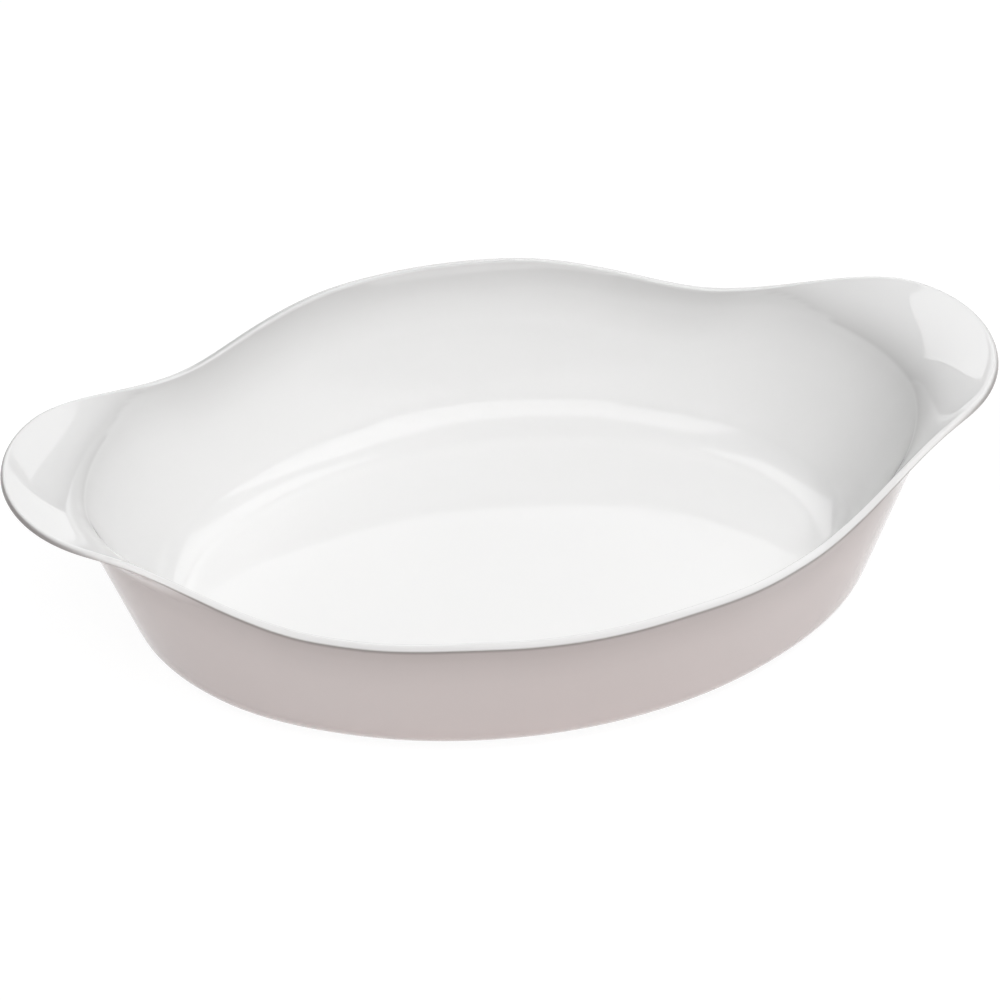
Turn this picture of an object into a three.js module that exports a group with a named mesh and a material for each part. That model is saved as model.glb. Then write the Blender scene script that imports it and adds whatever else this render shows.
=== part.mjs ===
// Oval roasting dish of white opal glass, pressed in one piece: a flat floor on a foot ring, a wall that
// leans outwards, a flared rim along the two long sides and a wing-shaped handle at each end.
// The regions of the moulding are separate meshes that meet face to face.
// Millimetres, +Z up. The origin is on the table, under the middle of the dish, and +X runs along the
// handles.

import * as THREE from 'three';
import { mergeVertices } from 'three/addons/utils/BufferGeometryUtils.js';

// Rim seen from above: a round handle tip, a straight handle flank and a long side arc, in each quarter
const LENGTH = 320;
const WIDTH = 200;
const TIP_RADIUS = 46;
const FLANK_ANGLE = 31;

// Height of the rim's lower outer edge over the table
const SIDE_HEIGHT = 54.5;
const DIP_HEIGHT = 50.4;
const TIP_HEIGHT = 67.3;

// Lengths along X: the level stretch at a tip, a handle from its tip to the dip, and the fall into the dip
const TIP_LEVEL = 16.7;
const HANDLE_LENGTH = 80;
const DIP_FALL = 52;

// Wall: how far it leans out, on the long axis up to the handle bend and on the short axis up to the rim
const END_LEAN = 20.8;
const SIDE_LEAN = 18.7;
const HEEL_RADIUS = 15;

// Bend between wall and handle: its height, its distance from the tip, its rounding, how oval it is, the
// length along X over which it fades into the rim's flare, and the most of a short rim that it may round
const BEND_HEIGHT = 55;
const HANDLE_DEPTH = 23.3;
const BEND_REACH = 7;
const BEND_EXPONENT = 1.86;
const BEND_BLEND = 50;
const BEND_SHARE = 0.6;

// Flare of the rim along the long sides
const FLARE_HEIGHT = 8;
const FLARE_DEPTH = 1.2;

// Thicknesses, and the round upper edge of the rim
const WALL_THICKNESS = 4;
const FLOOR_THICKNESS = 4.2;
const RIM_THICKNESS = 3.2;
const RIM_ROUND = 1.7;

// Foot ring under the floor
const FOOT_WIDTH = 8;
const FOOT_HEIGHT = 1;
const FOOT_SLOPE = 2;

// Facets: along the handle and the side of a quarter, and across the rounded places
const HANDLE_STEPS = 18;
const SIDE_STEPS = 10;
const HEEL_STEPS = 5;
const BEND_STEPS = 4;
const ROUND_STEPS = 3;

// Halvings that find where the outline reaches the dip
const HALVINGS = 40;

const HALF_LENGTH = LENGTH / 2;
const HALF_WIDTH = WIDTH / 2;
const DIP_REACH = HALF_LENGTH - HANDLE_LENGTH;
const DIP_START = DIP_REACH - DIP_FALL;
const TIP_REACH = HALF_LENGTH - TIP_LEVEL;
const BEND_HALF_LENGTH = HALF_LENGTH - HANDLE_DEPTH;
const BASE_HALF_LENGTH = BEND_HALF_LENGTH - END_LEAN;
const BASE_HALF_WIDTH = HALF_WIDTH - SIDE_LEAN;
const FLOOR_TOP = FOOT_HEIGHT + FLOOR_THICKNESS;

const GLASS = new THREE.MeshStandardMaterial({ color: 0xf4f2f0, roughness: 0.1, metalness: 0 });

// Smooth step from 0 at start to 1 at end
function ease(value, start, end) {
  return THREE.MathUtils.smoothstep(value, start, end);
}

// Radius at a polar angle of an oval with the given half axes; exponent 2 is an ellipse
function ovalRadius(angle, halfLength, halfWidth, exponent) {
  const along = Math.abs(Math.cos(angle) / halfLength) ** exponent;
  const across = Math.abs(Math.sin(angle) / halfWidth) ** exponent;
  return (along + across) ** (-1 / exponent);
}

// Rim outline in the quarter with positive x and y, from the tip to the middle of the long side
function quarterCurve() {
  const flank = THREE.MathUtils.degToRad(FLANK_ANGLE);
  const turn = Math.PI / 2 - flank;
  const outwards = new THREE.Vector2(Math.cos(turn), Math.sin(turn));
  const tipCentre = new THREE.Vector2(HALF_LENGTH - TIP_RADIUS, 0);
  const tipEnd = tipCentre.clone().addScaledVector(outwards, TIP_RADIUS);
  // The side arc touches the flank's line and passes through the middle of the long side
  const rise = tipEnd.y + tipEnd.x * Math.tan(flank) - HALF_WIDTH;
  const sideRadius = rise / (1 / Math.cos(flank) - 1);
  const sideCentre = new THREE.Vector2(0, HALF_WIDTH - sideRadius);
  const sideStart = sideCentre.clone().addScaledVector(outwards, sideRadius);
  const curve = new THREE.CurvePath();
  curve.add(new THREE.EllipseCurve(tipCentre.x, 0, TIP_RADIUS, TIP_RADIUS, 0, turn));
  curve.add(new THREE.LineCurve(tipEnd, sideStart));
  curve.add(new THREE.EllipseCurve(0, sideCentre.y, sideRadius, sideRadius, turn, Math.PI / 2));
  return curve;
}

// Share of the quarter's length, from the tip, at which it has come in to a distance along X
function shareAt(curve, reach) {
  let low = 0;
  let high = 1;
  for (let k = 0; k < HALVINGS; k += 1) {
    const middle = (low + high) / 2;
    if (curve.getPoint(middle).x > reach) {
      low = middle;
    } else {
      high = middle;
    }
  }
  return high;
}

// Points of the quarter's outline: evenly spaced from the tip to the dip, where a handle ends, and on from
// there to the middle of the long side
function quarterOutline() {
  const curve = quarterCurve();
  const dip = shareAt(curve, DIP_REACH);
  const points = [];
  for (let k = 0; k <= HANDLE_STEPS; k += 1) {
    points.push(curve.getPoint((dip * k) / HANDLE_STEPS));
  }
  for (let k = 1; k <= SIDE_STEPS; k += 1) {
    points.push(curve.getPoint(THREE.MathUtils.lerp(dip, 1, k / SIDE_STEPS)));
  }
  return points;
}

// The whole rim outline, anticlockwise from the tip at +X
function fullOutline() {
  const quarter = quarterOutline();
  const mirrored = (signX, signY) => quarter.map((p) => new THREE.Vector2(signX * p.x, signY * p.y));
  const back = mirrored(-1, 1).reverse().slice(1);
  const left = mirrored(-1, -1).slice(1);
  const front = mirrored(1, -1).reverse().slice(1, -1);
  return [...quarter, ...back, ...left, ...front];
}

// Height of the rim's lower outer edge, from the distance along X
function rimHeight(reach) {
  const fall = (SIDE_HEIGHT - DIP_HEIGHT) * ease(reach, DIP_START, DIP_REACH);
  const climb = (TIP_HEIGHT - DIP_HEIGHT) * ease(reach, DIP_REACH, TIP_REACH);
  return SIDE_HEIGHT - fall + climb;
}

// Outside of the dish in the upright plane through one rim point, from the foot to the rim
function outsideProfile(rimPoint) {
  const angle = Math.atan2(rimPoint.y, rimPoint.x);
  const reach = Math.abs(rimPoint.x);
  const rim = new THREE.Vector2(rimPoint.length(), rimHeight(reach));
  const base = new THREE.Vector2(ovalRadius(angle, BASE_HALF_LENGTH, BASE_HALF_WIDTH, 2), 0);
  const handle = ease(reach, DIP_REACH, DIP_REACH + BEND_BLEND);
  const flareStart = base.clone().lerp(rim, 1 - FLARE_HEIGHT / rim.y);
  flareStart.x -= FLARE_DEPTH;
  const bendRadius = ovalRadius(angle, BEND_HALF_LENGTH, HALF_WIDTH, BEND_EXPONENT);
  const bend = flareStart.lerp(new THREE.Vector2(bendRadius, BEND_HEIGHT), handle);
  const wallWay = bend.clone().sub(base).normalize();
  const rimWay = rim.clone().sub(bend).normalize();
  const points = [];
  const slope = Math.atan2(wallWay.y, wallWay.x);
  const heelStart = base.x - HEEL_RADIUS * Math.tan(slope / 2);
  for (let k = 0; k <= HEEL_STEPS; k += 1) {
    const turn = (slope * k) / HEEL_STEPS;
    const out = heelStart + HEEL_RADIUS * Math.sin(turn);
    points.push(new THREE.Vector2(out, HEEL_RADIUS * (1 - Math.cos(turn))));
  }
  const bendReach = Math.min(BEND_REACH, BEND_SHARE * bend.distanceTo(rim));
  const bendCurve = new THREE.QuadraticBezierCurve(
    bend.clone().addScaledVector(wallWay, -bendReach),
    bend,
    bend.clone().addScaledVector(rimWay, bendReach),
  );
  points.push(...bendCurve.getPoints(BEND_STEPS));
  const edge = rim.clone().addScaledVector(rimWay, -RIM_ROUND);
  points.push(bendCurve.v2.clone().lerp(edge, 0.5), edge);
  return points.map(({ x, y }) => new THREE.Vector3(x * Math.cos(angle), x * Math.sin(angle), y));
}

const BEND_ROW = HEEL_STEPS + 1;
const RIM_ROW = BEND_ROW + BEND_STEPS + 2;

// Thickness of the glass at a row of the profile, from the heel to the rim
function thicknessAt(row) {
  if (row <= HEEL_STEPS) {
    return THREE.MathUtils.lerp(FLOOR_TOP, WALL_THICKNESS, row / HEEL_STEPS);
  }
  return THREE.MathUtils.lerp(WALL_THICKNESS, RIM_THICKNESS, ease(row, BEND_ROW, RIM_ROW));
}

const OUTLINE = fullOutline();
const COLUMNS = OUTLINE.length;
const OUTSIDE = OUTLINE.map(outsideProfile);

// Direction out of the dish's inner face at a column and row of the outside grid
function inwardNormal(column, row) {
  if (row === 0) {
    return new THREE.Vector3(0, 0, 1);
  }
  const before = OUTSIDE[(column + COLUMNS - 1) % COLUMNS][row];
  const after = OUTSIDE[(column + 1) % COLUMNS][row];
  const below = OUTSIDE[column][row - 1];
  const above = OUTSIDE[column][Math.min(row + 1, RIM_ROW)];
  const around = after.clone().sub(before);
  const upwards = above.clone().sub(below);
  return upwards.cross(around).normalize();
}

const INSIDE = OUTSIDE.map((profile, column) => profile.map((point, row) => {
  return point.clone().addScaledVector(inwardNormal(column, row), thicknessAt(row));
}));

// Rounded edge of the rim at a column, from the upper face down to the sharp lower outer edge
function rimEdge(column) {
  const lower = OUTSIDE[column][RIM_ROW];
  const across = inwardNormal(column, RIM_ROW);
  const outwards = lower.clone().sub(OUTSIDE[column][RIM_ROW - 1]).normalize();
  const place = (out, up) => lower.clone().addScaledVector(outwards, out).addScaledVector(across, up);
  const points = [];
  for (let k = 1; k <= ROUND_STEPS; k += 1) {
    const turn = (Math.PI / 2) * (1 - k / ROUND_STEPS);
    const up = RIM_THICKNESS - RIM_ROUND * (1 - Math.sin(turn));
    points.push(place(RIM_ROUND * Math.cos(turn), up));
  }
  points.push(place(RIM_ROUND, 0));
  return points;
}

// Closed section of the wall at a column: up the inside, down the outside
function wallSection(column) {
  const inside = INSIDE[column].slice(0, BEND_ROW + 1);
  const outside = OUTSIDE[column].slice(0, BEND_ROW + 1).reverse();
  return [...inside, ...outside];
}

// Closed section of the rim or of a handle at a column: out along the upper face, back along the lower one
function rimSection(column) {
  const upper = INSIDE[column].slice(BEND_ROW);
  const lower = OUTSIDE[column].slice(BEND_ROW).reverse();
  return [...upper, ...rimEdge(column), ...lower];
}

// Closed mesh from triangles of points, with shared corners merged
function meshOf(name, triangles) {
  const geometry = new THREE.BufferGeometry().setFromPoints(triangles.flat());
  const solid = mergeVertices(geometry);
  solid.computeVertexNormals();
  const mesh = new THREE.Mesh(solid, GLASS.clone());
  mesh.name = name;
  return mesh;
}

// Triangles between two sections; the last side closes the section and takes the other diagonal, so that it
// matches the neighbour that it lies against
function joinSections(first, second) {
  const triangles = [];
  const count = first.length;
  for (let k = 0; k < count - 1; k += 1) {
    triangles.push([first[k], first[k + 1], second[k + 1]], [first[k], second[k + 1], second[k]]);
  }
  const end = count - 1;
  triangles.push([first[end], first[0], second[end]], [first[0], second[0], second[end]]);
  return triangles;
}

// Triangles that close a section, zipped from its closing side to its far end
function capSection(section) {
  const triangles = [];
  let low = 0;
  let high = section.length - 1;
  while (high - low > 1) {
    triangles.push([section[low], section[high], section[low + 1]]);
    low += 1;
    if (high - low > 1) {
      triangles.push([section[low], section[high], section[high - 1]]);
      high -= 1;
    }
  }
  return triangles;
}

// Wall ring all round the dish
function wallRing() {
  const triangles = [];
  for (let column = 0; column < COLUMNS; column += 1) {
    triangles.push(...joinSections(wallSection(column), wallSection((column + 1) % COLUMNS)));
  }
  return meshOf('wall', triangles);
}

// Stretch of the rim, or a handle, from one column to another
function rimStretch(name, start, steps) {
  const sections = [];
  for (let k = 0; k <= steps; k += 1) {
    sections.push(rimSection((start + k + COLUMNS) % COLUMNS));
  }
  const flip = ([a, b, c]) => [a, c, b];
  const triangles = [...capSection(sections[0])];
  for (let k = 0; k < steps; k += 1) {
    triangles.push(...joinSections(sections[k], sections[k + 1]));
  }
  triangles.push(...capSection(sections[steps]).map(flip));
  return meshOf(name, triangles);
}

// Floor inside the heel, standing on the foot ring
function floorDisc() {
  const rim = OUTSIDE.map((profile) => profile[0]);
  const inset = (point, distance, height) => {
    const scale = 1 - distance / Math.hypot(point.x, point.y);
    return new THREE.Vector3(point.x * scale, point.y * scale, height);
  };
  const sections = rim.map((point) => [
    new THREE.Vector3(0, 0, FLOOR_TOP),
    new THREE.Vector3(point.x, point.y, FLOOR_TOP),
    point,
    inset(point, FOOT_WIDTH, 0),
    inset(point, FOOT_WIDTH + FOOT_SLOPE, FOOT_HEIGHT),
    new THREE.Vector3(0, 0, FOOT_HEIGHT),
  ]);
  const triangles = [];
  sections.forEach((section, column) => {
    const next = sections[(column + 1) % COLUMNS];
    triangles.push([section[0], section[1], next[1]]);
    for (let k = 1; k < section.length - 2; k += 1) {
      triangles.push([section[k], section[k + 1], next[k + 1]], [section[k], next[k + 1], next[k]]);
    }
    triangles.push([section[4], section[5], next[4]]);
  });
  return meshOf('floor', triangles);
}

const QUARTER_STEPS = HANDLE_STEPS + SIDE_STEPS;

const dish = new THREE.Group();
dish.add(floorDisc());
dish.add(wallRing());
dish.add(rimStretch('right_handle', -HANDLE_STEPS, 2 * HANDLE_STEPS));
dish.add(rimStretch('back_rim', HANDLE_STEPS, 2 * SIDE_STEPS));
dish.add(rimStretch('left_handle', 2 * QUARTER_STEPS - HANDLE_STEPS, 2 * HANDLE_STEPS));
dish.add(rimStretch('front_rim', 2 * QUARTER_STEPS + HANDLE_STEPS, 2 * SIDE_STEPS));

export default dish;
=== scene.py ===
"""White opal-glass oval roasting dish on a pale studio floor.

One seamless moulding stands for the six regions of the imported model. Its outside skin is drawn up ring
by ring from the middle of the floor to the rim, thickened into glass, rounded at the rim and recessed
underneath. Metres, +Z up, +X along the two handles.
"""

import logging
import math
from dataclasses import dataclass, field
from enum import Enum

import bmesh
import bpy
from mathutils import Matrix, Vector
from mathutils.kdtree import KDTree


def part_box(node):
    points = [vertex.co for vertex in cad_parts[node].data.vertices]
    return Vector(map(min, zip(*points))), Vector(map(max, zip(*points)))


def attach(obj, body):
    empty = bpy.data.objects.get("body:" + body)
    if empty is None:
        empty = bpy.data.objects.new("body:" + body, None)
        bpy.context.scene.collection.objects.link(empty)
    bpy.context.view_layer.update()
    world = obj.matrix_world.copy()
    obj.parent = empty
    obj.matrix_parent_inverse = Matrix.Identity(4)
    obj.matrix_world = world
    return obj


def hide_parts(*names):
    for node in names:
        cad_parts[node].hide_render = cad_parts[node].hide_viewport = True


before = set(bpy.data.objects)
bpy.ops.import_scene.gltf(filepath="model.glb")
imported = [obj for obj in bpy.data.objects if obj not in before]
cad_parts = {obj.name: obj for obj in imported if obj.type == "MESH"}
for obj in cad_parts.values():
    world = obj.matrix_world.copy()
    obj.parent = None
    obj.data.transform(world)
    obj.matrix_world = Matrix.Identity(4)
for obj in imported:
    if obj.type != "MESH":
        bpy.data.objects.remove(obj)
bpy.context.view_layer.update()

LOG = logging.getLogger("roasting_dish")
MM = 0.001
Colour = tuple[float, float, float]


class RayKind(Enum):
    """Light Path outputs that tell what looks at a surface."""

    CAMERA = "Is Camera Ray"
    GLOSSY = "Is Glossy Ray"
    TRANSMISSION = "Is Transmission Ray"


class RimEdge(Enum):
    """The two edges of the rim's band."""

    UPPER = "round, along the inside"
    LOWER = "sharp, along the outside"


class SkinLayer(Enum):
    """Layers that remember where a vertex of the skin belongs and how much painted shade darkens it."""

    COLUMN = "column"
    ROW = "row"
    THIN = "painted_shade"


def ease(value: float, start: float, end: float) -> float:
    """Step smoothly from 0 to 1.

    Args:
        value: Where the step is read.
        start: Where the step leaves 0.
        end: Where the step reaches 1.

    Returns:
        The height of the step.
    """
    share = min(max((value - start) / (end - start), 0.0), 1.0)
    return share * share * (3.0 - 2.0 * share)


def oval_radius(angle: float, half_length: float, half_width: float, exponent: float = 2.0) -> float:
    """Radius of an oval in one direction.

    Args:
        angle: Direction seen from above, from +X.
        half_length: Half axis along X.
        half_width: Half axis along Y.
        exponent: 2 for an ellipse, less for a more pointed oval.

    Returns:
        The distance from the middle to the oval.
    """
    along = abs(math.cos(angle) / half_length) ** exponent
    across = abs(math.sin(angle) / half_width) ** exponent
    return (along + across) ** (-1.0 / exponent)


def arc(start: Vector, corner: Vector, end: Vector, share: float) -> Vector:
    """Point on the parabola that rounds a corner.

    Args:
        start: Where it leaves the first side.
        corner: Where the two sides would meet.
        end: Where it joins the second side.
        share: How far along it the point lies, from 0 to 1.

    Returns:
        The point.
    """
    return start.lerp(corner, share).lerp(corner.lerp(end, share), share)


def with_alpha(colour: Colour) -> tuple[float, float, float, float]:
    """Colour as a node socket takes it."""
    return (*colour, 1.0)


@dataclass(frozen=True)
class OpalGlass:
    """White pressed glass with a fire-polished gloss, darkened by painted shade along the top of the
    walls, at the handles' bend and on the rim's outer face.
    """

    name: str = "opal_glass"
    milk: Colour = (0.93, 0.929, 0.927)
    cream: Colour = (0.92, 0.917, 0.912)
    # Grey of the painted shade, mixed in along the top of the walls, at the handles' bend and on the
    # rim's outer face.
    painted_shade: Colour = (0.43, 0.42, 0.415)
    cloud_scale: float = 9.0
    gloss_roughness: float = 0.02
    smear_roughness: float = 0.05
    smear_scale: float = 30.0
    ground_roughness: float = 0.42
    ground_height: float = 0.4 * MM
    ripple_scale: float = 26.0
    ripple_detail: float = 1.0
    ripple_height: float = 0.05 * MM
    ripple_strength: float = 0.35
    refraction: float = 1.5

    def material(self) -> bpy.types.Material:
        """Build the glass.

        Returns:
            A material whose clouding, smears and ripples lie on Object coordinates, and whose painted
            shade follows the mesh's own layer.
        """
        made = bpy.data.materials.new(self.name)
        made.use_nodes = True
        nodes = made.node_tree.nodes
        links = made.node_tree.links
        shader = nodes["Principled BSDF"]
        shader.inputs["IOR"].default_value = self.refraction
        place = nodes.new("ShaderNodeTexCoord").outputs["Object"]

        clouds = nodes.new("ShaderNodeTexNoise")
        clouds.inputs["Scale"].default_value = self.cloud_scale
        tint = nodes.new("ShaderNodeMix")
        tint.data_type = "RGBA"
        tint.inputs["A"].default_value = with_alpha(self.milk)
        tint.inputs["B"].default_value = with_alpha(self.cream)
        links.new(place, clouds.inputs["Vector"])
        links.new(clouds.outputs["Fac"], tint.inputs["Factor"])

        # Painted shade: the mesh's shade layer mixes a grey into the base colour.
        painted_shade_weights = nodes.new("ShaderNodeAttribute")
        painted_shade_weights.attribute_name = SkinLayer.THIN.value
        shade_mix = nodes.new("ShaderNodeMix")
        shade_mix.data_type = "RGBA"
        shade_mix.inputs["B"].default_value = with_alpha(self.painted_shade)
        links.new(painted_shade_weights.outputs["Fac"], shade_mix.inputs["Factor"])
        links.new(tint.outputs["Result"], shade_mix.inputs["A"])
        links.new(shade_mix.outputs["Result"], shader.inputs["Base Color"])

        smears = nodes.new("ShaderNodeTexNoise")
        smears.inputs["Scale"].default_value = self.smear_scale
        gloss = nodes.new("ShaderNodeMapRange")
        gloss.inputs["To Min"].default_value = self.gloss_roughness
        gloss.inputs["To Max"].default_value = self.smear_roughness
        links.new(place, smears.inputs["Vector"])
        links.new(smears.outputs["Fac"], gloss.inputs["Value"])

        heights = nodes.new("ShaderNodeSeparateXYZ")
        foot = nodes.new("ShaderNodeMapRange")
        foot.inputs["From Max"].default_value = self.ground_height
        foot.inputs["To Min"].default_value = self.ground_roughness
        foot.inputs["To Max"].default_value = 0.0
        rough = nodes.new("ShaderNodeMath")
        rough.operation = "MAXIMUM"
        links.new(place, heights.inputs["Vector"])
        links.new(heights.outputs["Z"], foot.inputs["Value"])
        links.new(gloss.outputs["Result"], rough.inputs[0])
        links.new(foot.outputs["Result"], rough.inputs[1])
        links.new(rough.outputs["Value"], shader.inputs["Roughness"])

        ripples = nodes.new("ShaderNodeTexNoise")
        ripples.inputs["Scale"].default_value = self.ripple_scale
        ripples.inputs["Detail"].default_value = self.ripple_detail
        bump = nodes.new("ShaderNodeBump")
        bump.inputs["Strength"].default_value = self.ripple_strength
        bump.inputs["Distance"].default_value = self.ripple_height
        links.new(place, ripples.inputs["Vector"])
        links.new(ripples.outputs["Fac"], bump.inputs["Height"])
        links.new(bump.outputs["Normal"], shader.inputs["Normal"])
        return made


@dataclass
class Ring:
    """One ring of the skin, a point for each column."""

    points: list[Vector]
    painted_shade: list[float]


@dataclass
class RoastingDish:
    """The dish as one moulding: floor, foot ring, heel, wall, rim and wing handles."""

    length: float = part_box("right_handle")[1].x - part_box("left_handle")[0].x
    width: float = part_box("back_rim")[1].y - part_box("front_rim")[0].y
    tip_radius: float = 46 * MM
    flank_angle: float = math.radians(31)
    side_height: float = 54.5 * MM
    dip_height: float = 50.4 * MM
    tip_height: float = 67.3 * MM
    tip_level: float = 16.7 * MM
    handle_length: float = 80 * MM
    dip_fall: float = 52 * MM
    end_lean: float = 20.8 * MM
    side_lean: float = 18.7 * MM
    heel_radius: float = 15 * MM
    inner_heel_radius: float = 16 * MM
    inner_heel_inset: float = 5.4 * MM
    bend_height: float = 52 * MM
    handle_depth: float = 23.6 * MM
    bend_exponent: float = 1.8
    bend_blend: float = 50 * MM
    crease_share: float = 0.1
    crease_reach: float = 0.8 * MM
    crease_room: float = 0.15
    wing_lead: float = 0.41
    flare_approach: float = 11 * MM
    # Painted shade: where it peaks along the top of the walls and just above the handles' bend, how far
    # it fades, and how the rounded rim is left light on top and darkened on its outer face.
    painted_shade_lead: float = 8 * MM
    painted_shade_wall_fade: float = 30 * MM
    painted_shade_wing_fade: float = 14 * MM
    painted_shade_power: float = 2.7
    painted_shade_rim: float = 0.49
    painted_shade_end: float = 0.17
    painted_shade_bend: float = 0.34
    painted_shade_top_clear: tuple[float, float] = (0.65, 0.9)
    painted_shade_outer_face: tuple[float, float] = (0.5, 0.9)
    flare_height: float = 8 * MM
    flare_depth: float = 0.7 * MM
    floor_top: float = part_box("floor")[1].z
    wall_thickness: float = 3.4 * MM
    rim_thickness: float = 3.2 * MM
    tip_thickness: float = 2.3 * MM
    rim_round: float = 1.1 * MM
    rim_room: float = 2.2 * MM
    edge_round: float = 0.3 * MM
    foot_width: float = 8 * MM
    foot_height: float = 1 * MM
    foot_slope: float = 2 * MM
    floor_shares: tuple[float, ...] = (0.3, 0.6)
    foot_steps: int = 3
    quarter_columns: int = 48
    heel_steps: int = 8
    wall_steps: int = 5
    crease_steps: int = 3
    wing_steps: int = 7
    round_segments: int = 4
    edge_segments: int = 2
    smooth_levels: int = 1
    glass: OpalGlass = field(default_factory=OpalGlass)

    def __post_init__(self) -> None:
        """Work out the half sizes that several curves share."""
        self.half_length = self.length / 2
        self.half_width = self.width / 2
        self.dip_reach = self.half_length - self.handle_length
        self.tip_reach = self.half_length - self.tip_level
        self.bend_half_length = self.half_length - self.handle_depth
        self.base_half_length = self.bend_half_length - self.end_lean
        self.base_half_width = self.half_width - self.side_lean

    def quarter_outline(self) -> list[Vector]:
        """Rim of one quarter, seen from above.

        Returns:
            Evenly spaced points from the handle tip to the middle of the long side.
        """
        turn = math.pi / 2 - self.flank_angle
        outwards = Vector((math.cos(turn), math.sin(turn)))
        tip_centre = Vector((self.half_length - self.tip_radius, 0.0))
        tip_end = tip_centre + outwards * self.tip_radius
        rise = tip_end.y + tip_end.x * math.tan(self.flank_angle) - self.half_width
        side_radius = rise / (1 / math.cos(self.flank_angle) - 1)
        side_centre = Vector((0.0, self.half_width - side_radius))
        side_start = side_centre + outwards * side_radius
        tip_way = self.tip_radius * turn
        flank_way = (side_start - tip_end).length
        side_way = side_radius * self.flank_angle

        def at(way: float) -> Vector:
            """Point at a distance from the tip along the rim."""
            if way < tip_way:
                bearing = way / self.tip_radius
                return tip_centre + self.tip_radius * Vector((math.cos(bearing), math.sin(bearing)))
            if way < tip_way + flank_way:
                return tip_end.lerp(side_start, (way - tip_way) / flank_way)
            bearing = turn + (way - tip_way - flank_way) / side_radius
            return side_centre + side_radius * Vector((math.cos(bearing), math.sin(bearing)))

        step = (tip_way + flank_way + side_way) / self.quarter_columns
        return [at(step * k) for k in range(self.quarter_columns + 1)]

    def outline(self) -> list[Vector]:
        """Rim all round, anticlockwise from the tip at +X."""
        right_back = self.quarter_outline()
        left_back = [Vector((-p.x, p.y)) for p in reversed(right_back[:-1])]
        back = right_back + left_back
        front = [Vector((p.x, -p.y)) for p in reversed(back[1:-1])]
        return back + front

    def rim_height(self, reach: float) -> float:
        """Height of the rim's lower outer edge.

        Args:
            reach: Distance along X from the middle of the dish.

        Returns:
            The height over the table.
        """
        fall = ease(reach, self.dip_reach - self.dip_fall, self.dip_reach)
        climb = ease(reach, self.dip_reach, self.tip_reach)
        dip = self.side_height + (self.dip_height - self.side_height) * fall
        return dip + (self.tip_height - self.dip_height) * climb

    def handle_share(self, rim_point: Vector) -> float:
        """Tell how far a rim point belongs to a handle: 0 on the long sides, 1 round the tips."""
        return ease(abs(rim_point.x), self.dip_reach, self.dip_reach + self.bend_blend)

    def profile(self, rim_point: Vector) -> list[Vector]:
        """Outside of the dish in the upright plane through one rim point.

        Args:
            rim_point: Rim point seen from above.

        Returns:
            Points of radius and height, from where the heel leaves the table to the rim.
        """
        angle = math.atan2(rim_point.y, rim_point.x)
        rim = Vector((rim_point.length, self.rim_height(abs(rim_point.x))))
        base = Vector((oval_radius(angle, self.base_half_length, self.base_half_width), 0.0))
        flare = base.lerp(rim, 1 - self.flare_height / rim.y) - Vector((self.flare_depth, 0.0))
        bend_radius = oval_radius(angle, self.bend_half_length, self.half_width, self.bend_exponent)
        handle = self.handle_share(rim_point)
        bend = flare.lerp(Vector((bend_radius, self.bend_height)), handle)
        wall_way = (bend - base).normalized()
        lead_way = wall_way.lerp((rim - bend).normalized(), self.crease_share).normalized()
        wing = (rim - bend).length

        slope = math.atan2(wall_way.y, wall_way.x)
        heel_start = base.x - self.heel_radius * math.tan(slope / 2)
        points = []
        for k in range(self.heel_steps + 1):
            turn = slope * k / self.heel_steps
            out = heel_start + self.heel_radius * math.sin(turn)
            points.append(Vector((out, self.heel_radius * (1 - math.cos(turn)))))

        approach = self.flare_approach + (self.crease_reach - self.flare_approach) * handle
        bend_start = bend - wall_way * approach
        bend_end = bend + lead_way * min(self.crease_reach, self.crease_room * wing)
        heel_end = points[-1]
        for k in range(1, self.wall_steps):
            points.append(heel_end.lerp(bend_start, k / self.wall_steps))
        for k in range(self.crease_steps):
            points.append(arc(bend_start, bend, bend_end, k / self.crease_steps))
        lead = bend + lead_way * (self.wing_lead * wing)
        rim_start = rim - (rim - lead).normalized() * self.rim_room
        for k in range(self.wing_steps + 1):
            points.append(arc(bend_end, lead, rim_start, k / self.wing_steps))
        return [*points, rim]

    def painted_shade_weights(self, rim_point: Vector, profile: list[Vector]) -> list[float]:
        """How much painted shade darkens the glass along one profile.

        Args:
            rim_point: Rim point seen from above.
            profile: Points from the heel to the rim.

        Returns:
            A value for each point, highest at the rim of the long sides and just above the handles' bend.
        """
        handle = self.handle_share(rim_point)
        lead = self.painted_shade_lead * (1 - handle)
        wall_peak = self.painted_shade_rim + (self.painted_shade_end - self.painted_shade_rim) * handle
        wing_peak = self.painted_shade_rim + (self.painted_shade_bend - self.painted_shade_rim) * handle
        ways = [0.0]
        for before, after in zip(profile, profile[1:]):
            ways.append(ways[-1] + (after - before).length)
        bend_row = self.heel_steps + self.wall_steps + self.crease_steps
        darkest_way = min(ways[bend_row] + lead, ways[-1])
        values = []
        for way in ways:
            peak, fade = (wall_peak, self.painted_shade_wall_fade) if way < darkest_way else (wing_peak, self.painted_shade_wing_fade)
            values.append(peak * max(0.0, 1 - abs(way - darkest_way) / fade) ** self.painted_shade_power)
        return values

    def rings(self) -> list[Ring]:
        """Rings of the outside skin, from near the middle of the floor to the rim.

        Returns:
            The rings in their order.
        """
        columns = []
        for rim_point in self.outline():
            bearing = rim_point.normalized()
            profile = self.profile(rim_point)
            foot_end = profile[0].x - self.foot_width
            foot_middle = profile[0].x - self.foot_width / 2
            recess_end = foot_end - self.foot_slope
            radii = [recess_end * share for share in self.floor_shares]
            floor = [Vector((radius, 0.0)) for radius in (*radii, recess_end, foot_end, foot_middle)]
            points = [Vector((*(bearing * p.x), p.y)) for p in (*floor, *profile)]
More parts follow.
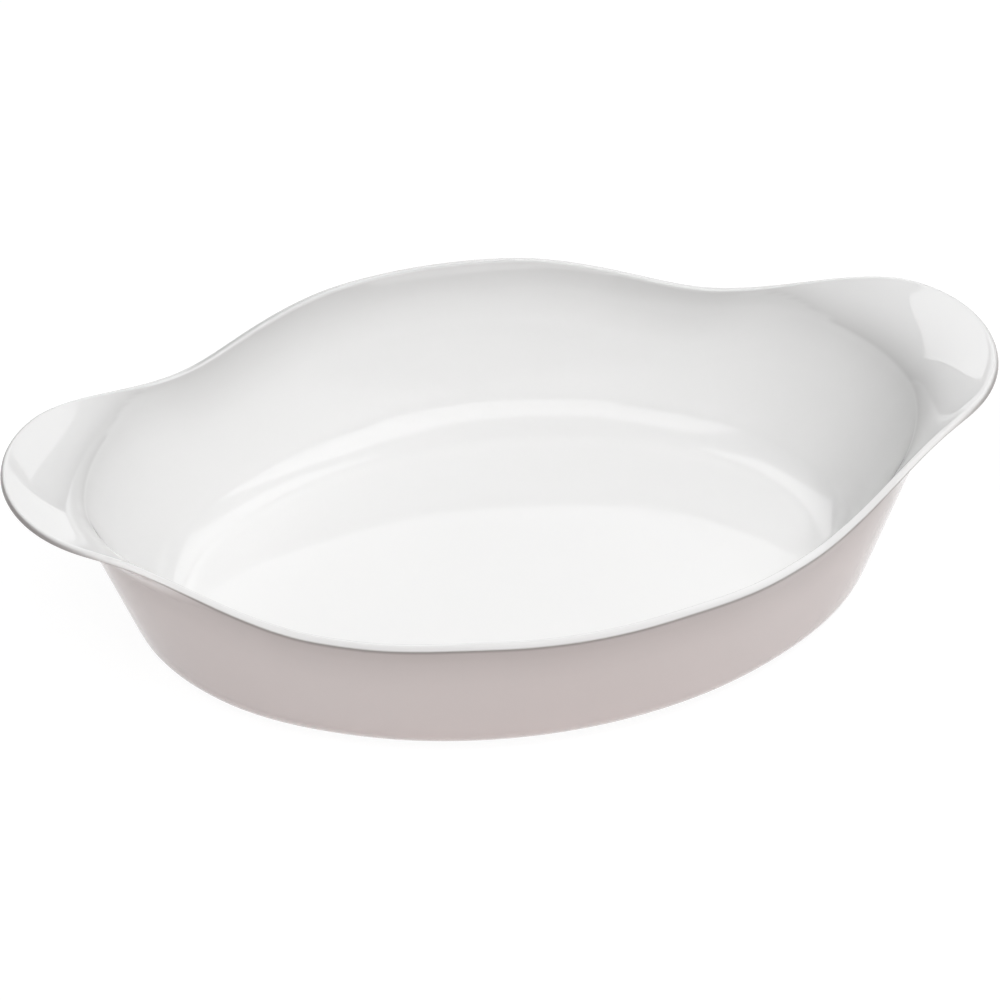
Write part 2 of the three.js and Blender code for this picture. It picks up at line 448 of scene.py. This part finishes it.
            # Painted shade weights: none on the floor and foot, then along the profile up to the rim.
            painted_shade = [0.0] * len(floor) + self.painted_shade_weights(rim_point, profile)
            columns.append(list(zip(points, painted_shade)))
        return [Ring(*map(list, zip(*row))) for row in zip(*columns)]

    def thickness(self, row: int, last_row: int, handle: float) -> float:
        """Thickness of the glass.

        Args:
            row: Ring of the skin, counted from the middle of the floor.
            last_row: The ring at the rim.
            handle: How far the place belongs to a handle.

        Returns:
            The thickness square to the skin.
        """
        heel_start = len(self.floor_shares) + self.foot_steps
        heel_end = heel_start + self.heel_steps
        bend_start = heel_end + self.wall_steps
        if row < heel_start:
            return self.floor_top
        if row <= heel_end:
            return self.heel_thickness((row - heel_start) / self.heel_steps)
        if row <= bend_start:
            base = self.heel_thickness(1.0)
            return base + (self.wall_thickness - base) * (row - heel_end) / self.wall_steps
        thinning = ease(row, bend_start, last_row)
        rim = self.rim_thickness + (self.tip_thickness - self.rim_thickness) * handle
        return self.wall_thickness + (rim - self.wall_thickness) * thinning

    def heel_thickness(self, share: float) -> float:
        """Thickness of the glass in the heel, whose inside is rounder than its outside.

        Args:
            share: How far up the heel it is read, from 0 at the foot to 1 at the wall.

        Returns:
            The distance from the outer arc to the inner arc.
        """
        slope = math.atan2(self.side_height, self.side_lean)
        turn = share * slope
        rise = self.heel_radius - self.floor_top - self.inner_heel_radius
        along = self.inner_heel_inset * math.sin(turn) - rise * math.cos(turn)
        offset = self.inner_heel_inset ** 2 + rise ** 2
        return self.heel_radius + along - math.sqrt(along ** 2 - offset + self.inner_heel_radius ** 2)

    def draw_skin(self, rings: list[Ring]) -> bpy.types.Object:
        """Draw the outside skin up from the middle of the floor, extruding its edge ring by ring.

        Args:
            rings: Where each ring's points go.

        Returns:
            The open skin, with its layers written on every vertex.
        """
        bpy.ops.object.select_all(action="DESELECT")
        column_count = len(rings[0].points)
        bpy.ops.mesh.primitive_circle_add(vertices=column_count, radius=self.base_half_width)
        skin = bpy.context.object
        skin.name = "dish"
        skin.data.name = "dish"
        bpy.ops.object.mode_set(mode="EDIT")
        mesh = bmesh.from_edit_mesh(skin.data)
        columns = mesh.verts.layers.int.new(SkinLayer.COLUMN.value)
        mesh.verts.layers.int.new(SkinLayer.ROW.value)
        mesh.verts.layers.float.new(SkinLayer.THIN.value)
        circle = sorted(mesh.verts, key=lambda vertex: math.atan2(vertex.co.y, vertex.co.x))
        for column, vertex in enumerate(circle):
            vertex[columns] = column
        bmesh.update_edit_mesh(skin.data)
        bpy.ops.mesh.select_all(action="SELECT")
        bpy.ops.mesh.select_mode(type="EDGE")
        self.place_ring(skin, 0, rings[0])
        bpy.ops.mesh.fill_grid(span=self.quarter_columns)
        bpy.ops.mesh.select_all(action="SELECT")
        bpy.ops.mesh.region_to_loop()
        for row, ring in enumerate(rings[1:], start=1):
            bpy.ops.mesh.extrude_edges_move()
            self.place_ring(skin, row, ring)
        bpy.ops.mesh.select_all(action="SELECT")
        bpy.ops.mesh.normals_make_consistent(inside=False)
        mesh = bmesh.from_edit_mesh(skin.data)
        lowest = min(mesh.faces, key=lambda face: face.calc_center_median().z)
        if lowest.normal.z > 0:
            bpy.ops.mesh.flip_normals()
        bpy.ops.object.mode_set(mode="OBJECT")
        return skin

    @staticmethod
    def place_ring(skin: bpy.types.Object, row: int, ring: Ring) -> None:
        """Move the selected ring to its place.

        Args:
            skin: The skin in edit mode.
            row: The ring's number, which is written on its vertices.
            ring: Where its points go.
        """
        mesh = bmesh.from_edit_mesh(skin.data)
        columns = mesh.verts.layers.int[SkinLayer.COLUMN.value]
        rows = mesh.verts.layers.int[SkinLayer.ROW.value]
        painted_shade = mesh.verts.layers.float[SkinLayer.THIN.value]
        for vertex in mesh.verts:
            if vertex.select:
                vertex.co = ring.points[vertex[columns]]
                vertex[rows] = row
                vertex[painted_shade] = ring.painted_shade[vertex[columns]]
        bmesh.update_edit_mesh(skin.data)

    def thicken(self, skin: bpy.types.Object, last_row: int) -> None:
        """Give the skin its glass, inwards, thick under the floor and less thick at the rim.

        Args:
            skin: The open skin.
            last_row: The ring at the rim.
        """
        rows = skin.data.attributes[SkinLayer.ROW.value].data
        columns = skin.data.attributes[SkinLayer.COLUMN.value].data
        handles = [self.handle_share(point) for point in self.outline()]
        thickest = max(self.thickness(row, last_row, 0.0) for row in range(last_row + 1))
        group = skin.vertex_groups.new(name="thickness")
        for index, (row, column) in enumerate(zip(rows, columns)):
            thickness = self.thickness(row.value, last_row, handles[column.value])
            group.add([index], thickness / thickest, "REPLACE")
        glass = skin.modifiers.new("glass", "SOLIDIFY")
        glass.thickness = thickest
        glass.offset = -1.0
        glass.vertex_group = group.name
        glass.use_quality_normals = True
        bpy.ops.object.modifier_apply(modifier=glass.name)

    def bevel_rim(self, dish: bpy.types.Object, rim_ring: list[Vector], edge: RimEdge) -> None:
        """Round one edge of the rim and set the painted shade along it.

        Args:
            dish: The thickened dish.
            rim_ring: Where the lower outer edge runs.
            edge: The edge that is rounded.
        """
        width, segments = {
            RimEdge.LOWER: (self.edge_round, self.edge_segments),
            RimEdge.UPPER: (self.rim_round, self.round_segments),
        }[edge]
        line = KDTree(len(rim_ring))
        for index, point in enumerate(rim_ring):
            line.insert(point, index)
        line.balance()

        bpy.ops.object.mode_set(mode="EDIT")
        bpy.ops.mesh.select_mode(type="EDGE")
        bpy.ops.mesh.select_all(action="DESELECT")
        mesh = bmesh.from_edit_mesh(dish.data)
        rows = mesh.verts.layers.int[SkinLayer.ROW.value]
        last_row = max(vertex[rows] for vertex in mesh.verts)

        def belongs(vertex: bmesh.types.BMVert) -> bool:
            """Tell whether a vertex lies on the edge that is rounded."""
            outside = line.find(vertex.co)[2] < self.edge_round / 2
            if edge is RimEdge.LOWER:
                return outside
            return vertex[rows] == last_row and not outside

        for side in mesh.edges:
            side.select_set(all(belongs(vertex) for vertex in side.verts))
        bmesh.update_edit_mesh(dish.data)
        bpy.ops.mesh.bevel(offset=width, segments=segments, affect="EDGES")
        mesh = bmesh.from_edit_mesh(dish.data)
        mesh.normal_update()
        painted_shade = mesh.verts.layers.float[SkinLayer.THIN.value]
        for vertex in mesh.verts:
            if vertex.select:
                # Painted shade on the rounded rim: taken off where it faces up, darkest where it faces
                # outwards.
                outwards = vertex.normal.xy.dot(vertex.co.xy.normalized())
                inside = vertex[painted_shade] * (1 - ease(vertex.normal.z, *self.painted_shade_top_clear))
                vertex[painted_shade] = max(inside, ease(outwards, *self.painted_shade_outer_face))
        bmesh.update_edit_mesh(dish.data)
        bpy.ops.object.mode_set(mode="OBJECT")

    def recess_foot(self, dish: bpy.types.Object) -> None:
        """Lift the underside of the floor inside the foot ring.

        Args:
            dish: The thickened dish.
        """
        recess_row = len(self.floor_shares)
        bpy.ops.object.mode_set(mode="EDIT")
        bpy.ops.mesh.select_mode(type="VERT")
        bpy.ops.mesh.select_all(action="DESELECT")
        mesh = bmesh.from_edit_mesh(dish.data)
        rows = mesh.verts.layers.int[SkinLayer.ROW.value]
        for vertex in mesh.verts:
            vertex.select_set(vertex[rows] <= recess_row and vertex.co.z < self.floor_top / 2)
        bmesh.update_edit_mesh(dish.data)
        bpy.ops.transform.translate(value=(0.0, 0.0, self.foot_height))
        bpy.ops.object.mode_set(mode="OBJECT")

    def build(self) -> bpy.types.Object:
        """Make the whole moulding.

        Returns:
            The finished dish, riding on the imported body.
        """
        rings = self.rings()
        dish = self.draw_skin(rings)
        self.thicken(dish, len(rings) - 1)
        self.bevel_rim(dish, rings[-1].points, RimEdge.UPPER)
        self.bevel_rim(dish, rings[-1].points, RimEdge.LOWER)
        self.recess_foot(dish)
        smooth = dish.modifiers.new("smooth", "SUBSURF")
        smooth.levels = self.smooth_levels
        smooth.render_levels = self.smooth_levels
        bpy.ops.object.modifier_apply(modifier=smooth.name)
        bpy.ops.object.shade_smooth()
        dish.data.materials.append(self.glass.material())
        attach(dish, "root")
        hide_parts("floor", "wall", "front_rim", "back_rim", "left_handle", "right_handle")
        return dish


def direction(azimuth: float, elevation: float) -> Vector:
    """Unit vector towards a viewer.

    Args:
        azimuth: Degrees round the dish; 0 stands in front of it, looking along +Y.
        elevation: Degrees above the table.

    Returns:
        The direction from the dish to the viewer.
    """
    turn = math.radians(azimuth)
    tilt = math.radians(elevation)
    return Vector((math.sin(turn) * math.cos(tilt), -math.cos(turn) * math.cos(tilt), math.sin(tilt)))


def facing(back: Vector) -> Matrix:
    """Rotation of a camera or lamp that looks against a direction."""
    return (-back).to_track_quat("-Z", "Y").to_matrix().to_4x4()


@dataclass(frozen=True, kw_only=True)
class AreaLamp:
    """A rectangular lamp with an evenly lit face.

    What it lights and how bright it looks in the gloss are set apart, like a lamp and a white card.
    """

    name: str
    width: float
    height: float
    radiance: float = 0.0
    mirror: float = 0.0
    mirror_gap: float = 2 * MM

    def stand(self) -> Matrix:
        """Where the lamp is and which way it shines."""
        raise NotImplementedError

    def place(self) -> None:
        """Set up what the lamp lights and what the gloss mirrors."""
        for level, mirrored in ((self.radiance, False), (self.mirror, True)):
            if level:
                self.add_face(level, mirrored)

    def add_face(self, radiance: float, mirrored: bool) -> None:
        """Set up one face of the lamp, which the camera doesn't see.

        Args:
            radiance: Brightness of the face, where 1 is white.
            mirrored: Whether only the gloss sees it, or everything but the gloss.
        """
        bpy.ops.object.light_add(type="AREA")
        lamp = bpy.context.object
        lamp.name = f"{self.name}_mirror" if mirrored else self.name
        lamp.data.shape = "RECTANGLE"
        lamp.data.size = self.width
        lamp.data.size_y = self.height
        lamp.data.energy = math.pi * self.width * self.height * radiance
        nearer = self.mirror_gap if mirrored else 0.0
        lamp.matrix_world = self.stand() @ Matrix.Translation((0.0, 0.0, -nearer))
        lamp.visible_camera = False
        lamp.visible_glossy = mirrored
        lamp.visible_diffuse = not mirrored


@dataclass(frozen=True, kw_only=True)
class Softbox(AreaLamp):
    """A lamp that stands upright on the floor round the dish."""

    azimuth: float
    distance: float
    low: float

    def stand(self) -> Matrix:
        """Upright, with its face towards the dish."""
        back = direction(self.azimuth, 0.0)
        middle = back * self.distance + Vector((0.0, 0.0, self.low + self.height / 2))
        return Matrix.Translation(middle) @ facing(back)


@dataclass(frozen=True, kw_only=True)
class Overhead(AreaLamp):
    """A lamp that hangs level and shines down."""

    azimuth: float
    distance: float
    hang: float

    def stand(self) -> Matrix:
        """Level, with its face down."""
        upwards = Vector((0.0, 0.0, 1.0))
        middle = direction(self.azimuth, 0.0) * self.distance + upwards * self.hang
        return Matrix.Translation(middle) @ facing(upwards)


@dataclass
class Studio:
    """Floor, surroundings, lamps and camera."""

    azimuth: float = -14.762
    elevation: float = 37.851
    distance: float = 3.2
    aim: Vector = field(default_factory=lambda: Vector((-3.71, -10.39, 42.85)) * MM)
    picture_width: float = 313.36 * MM
    sensor: float = 36.0
    floor_radius: float = 18.0
    floor_corners: int = 96
    floor_drop: float = 0.1 * MM
    floor_colour: Colour = (0.70, 0.585, 0.565)
    backdrop_glow: float = 0.94
    shadow_floor: Colour = (0.12, 0.12, 0.12)
    fill: Colour = (0.02, 0.02, 0.02)
    lamps: tuple[AreaLamp, ...] = (
        Softbox(name="front_left", azimuth=-47.1, distance=0.79, low=0.42, width=0.53, height=1.48,
                radiance=1.5, mirror=1.7),
        Softbox(name="front", azimuth=0.0, distance=0.76, low=0.28, width=0.84, height=1.42,
                radiance=0.68, mirror=1.7),
        Softbox(name="front_right", azimuth=50.9, distance=0.78, low=0.38, width=0.65, height=1.52,
                mirror=1.7),
        Softbox(name="back_right", azimuth=126.0, distance=0.78, low=0.52, width=0.74, height=1.16,
                radiance=1.35, mirror=1.25),
        Softbox(name="back_left", azimuth=-164.8, distance=0.78, low=0.47, width=0.60, height=1.21,
                mirror=1.9),
        Softbox(name="backdrop", azimuth=164.0, distance=1.06, low=0.07, width=0.40, height=1.18,
                radiance=2.5, mirror=1.45),
        Overhead(name="key_left", azimuth=-45.0, distance=1.13, hang=1.75, width=0.8, height=0.8,
                 radiance=4.7),
        Overhead(name="key_right", azimuth=45.0, distance=1.13, hang=1.75, width=0.8, height=0.8,
                 radiance=10.1),
    )

    def camera(self) -> None:
        """Stand the camera where the photograph was taken."""
        bpy.ops.object.camera_add()
        camera = bpy.context.object
        camera.name = "camera"
        back = direction(self.azimuth, self.elevation)
        camera.matrix_world = Matrix.Translation(self.aim + back * self.distance) @ facing(back)
        camera.data.sensor_width = self.sensor
        camera.data.lens = self.sensor * self.distance / self.picture_width
        camera.data.clip_end = 2 * self.floor_radius
        bpy.context.scene.camera = camera

    @staticmethod
    def seen_directly(nodes: bpy.types.Nodes, links: bpy.types.NodeLinks) -> bpy.types.NodeSocket:
        """Mask of rays that look at the studio itself and not for its light.

        Args:
            nodes: Nodes of the material or world.
            links: Its links.

        Returns:
            A socket that is 1 for camera, glossy and transmission rays.
        """
        path = nodes.new("ShaderNodeLightPath")
        mask = path.outputs[RayKind.CAMERA.value]
        for kind in (RayKind.GLOSSY, RayKind.TRANSMISSION):
            both = nodes.new("ShaderNodeMath")
            both.operation = "MAXIMUM"
            links.new(mask, both.inputs[0])
            links.new(path.outputs[kind.value], both.inputs[1])
            mask = both.outputs["Value"]
        return mask

    def floor(self) -> None:
        """Lay the pale floor, which keeps the dish's shadow."""
        bpy.ops.object.select_all(action="DESELECT")
        bpy.ops.mesh.primitive_circle_add(
            vertices=self.floor_corners,
            radius=self.floor_radius,
            fill_type="NGON",
            location=(0.0, 0.0, -self.floor_drop),
        )
        floor = bpy.context.object
        floor.name = "studio_floor"
        made = bpy.data.materials.new("pale_floor")
        made.use_nodes = True
        nodes = made.node_tree.nodes
        links = made.node_tree.links
        nodes.remove(nodes["Principled BSDF"])
        bounce = nodes.new("ShaderNodeBsdfDiffuse")
        bounce.inputs["Color"].default_value = with_alpha(self.floor_colour)
        shade = nodes.new("ShaderNodeBsdfDiffuse")
        shade.inputs["Color"].default_value = with_alpha(self.shadow_floor)
        glow = nodes.new("ShaderNodeEmission")
        glow.inputs["Strength"].default_value = self.backdrop_glow
        white = nodes.new("ShaderNodeAddShader")
        links.new(shade.outputs["BSDF"], white.inputs[0])
        links.new(glow.outputs["Emission"], white.inputs[1])
        mix = nodes.new("ShaderNodeMixShader")
        links.new(self.seen_directly(nodes, links), mix.inputs["Fac"])
        links.new(bounce.outputs["BSDF"], mix.inputs[1])
        links.new(white.outputs["Shader"], mix.inputs[2])
        links.new(mix.outputs["Shader"], nodes["Material Output"].inputs["Surface"])
        floor.data.materials.append(made)

    def surroundings(self) -> None:
        """Leave the room behind the lamps nearly dark."""
        world = bpy.data.worlds.new("studio")
        bpy.context.scene.world = world
        world.use_nodes = True
        world.node_tree.nodes["Background"].inputs["Color"].default_value = with_alpha(self.fill)

    def build(self) -> None:
        """Set up everything round the dish."""
        bpy.context.scene.view_settings.view_transform = "Standard"
        self.camera()
        self.floor()
        self.surroundings()
        for lamp in self.lamps:
            lamp.place()


def main() -> None:
    """Build the studio and the dish, and report each piece."""
    logging.basicConfig(level=logging.INFO, format="%(name)s: %(message)s")
    Studio().build()
    dish = RoastingDish().build()
    LOG.info("%s: %d faces", dish.name, len(dish.data.polygons))


if __name__ == "__main__":
    main()
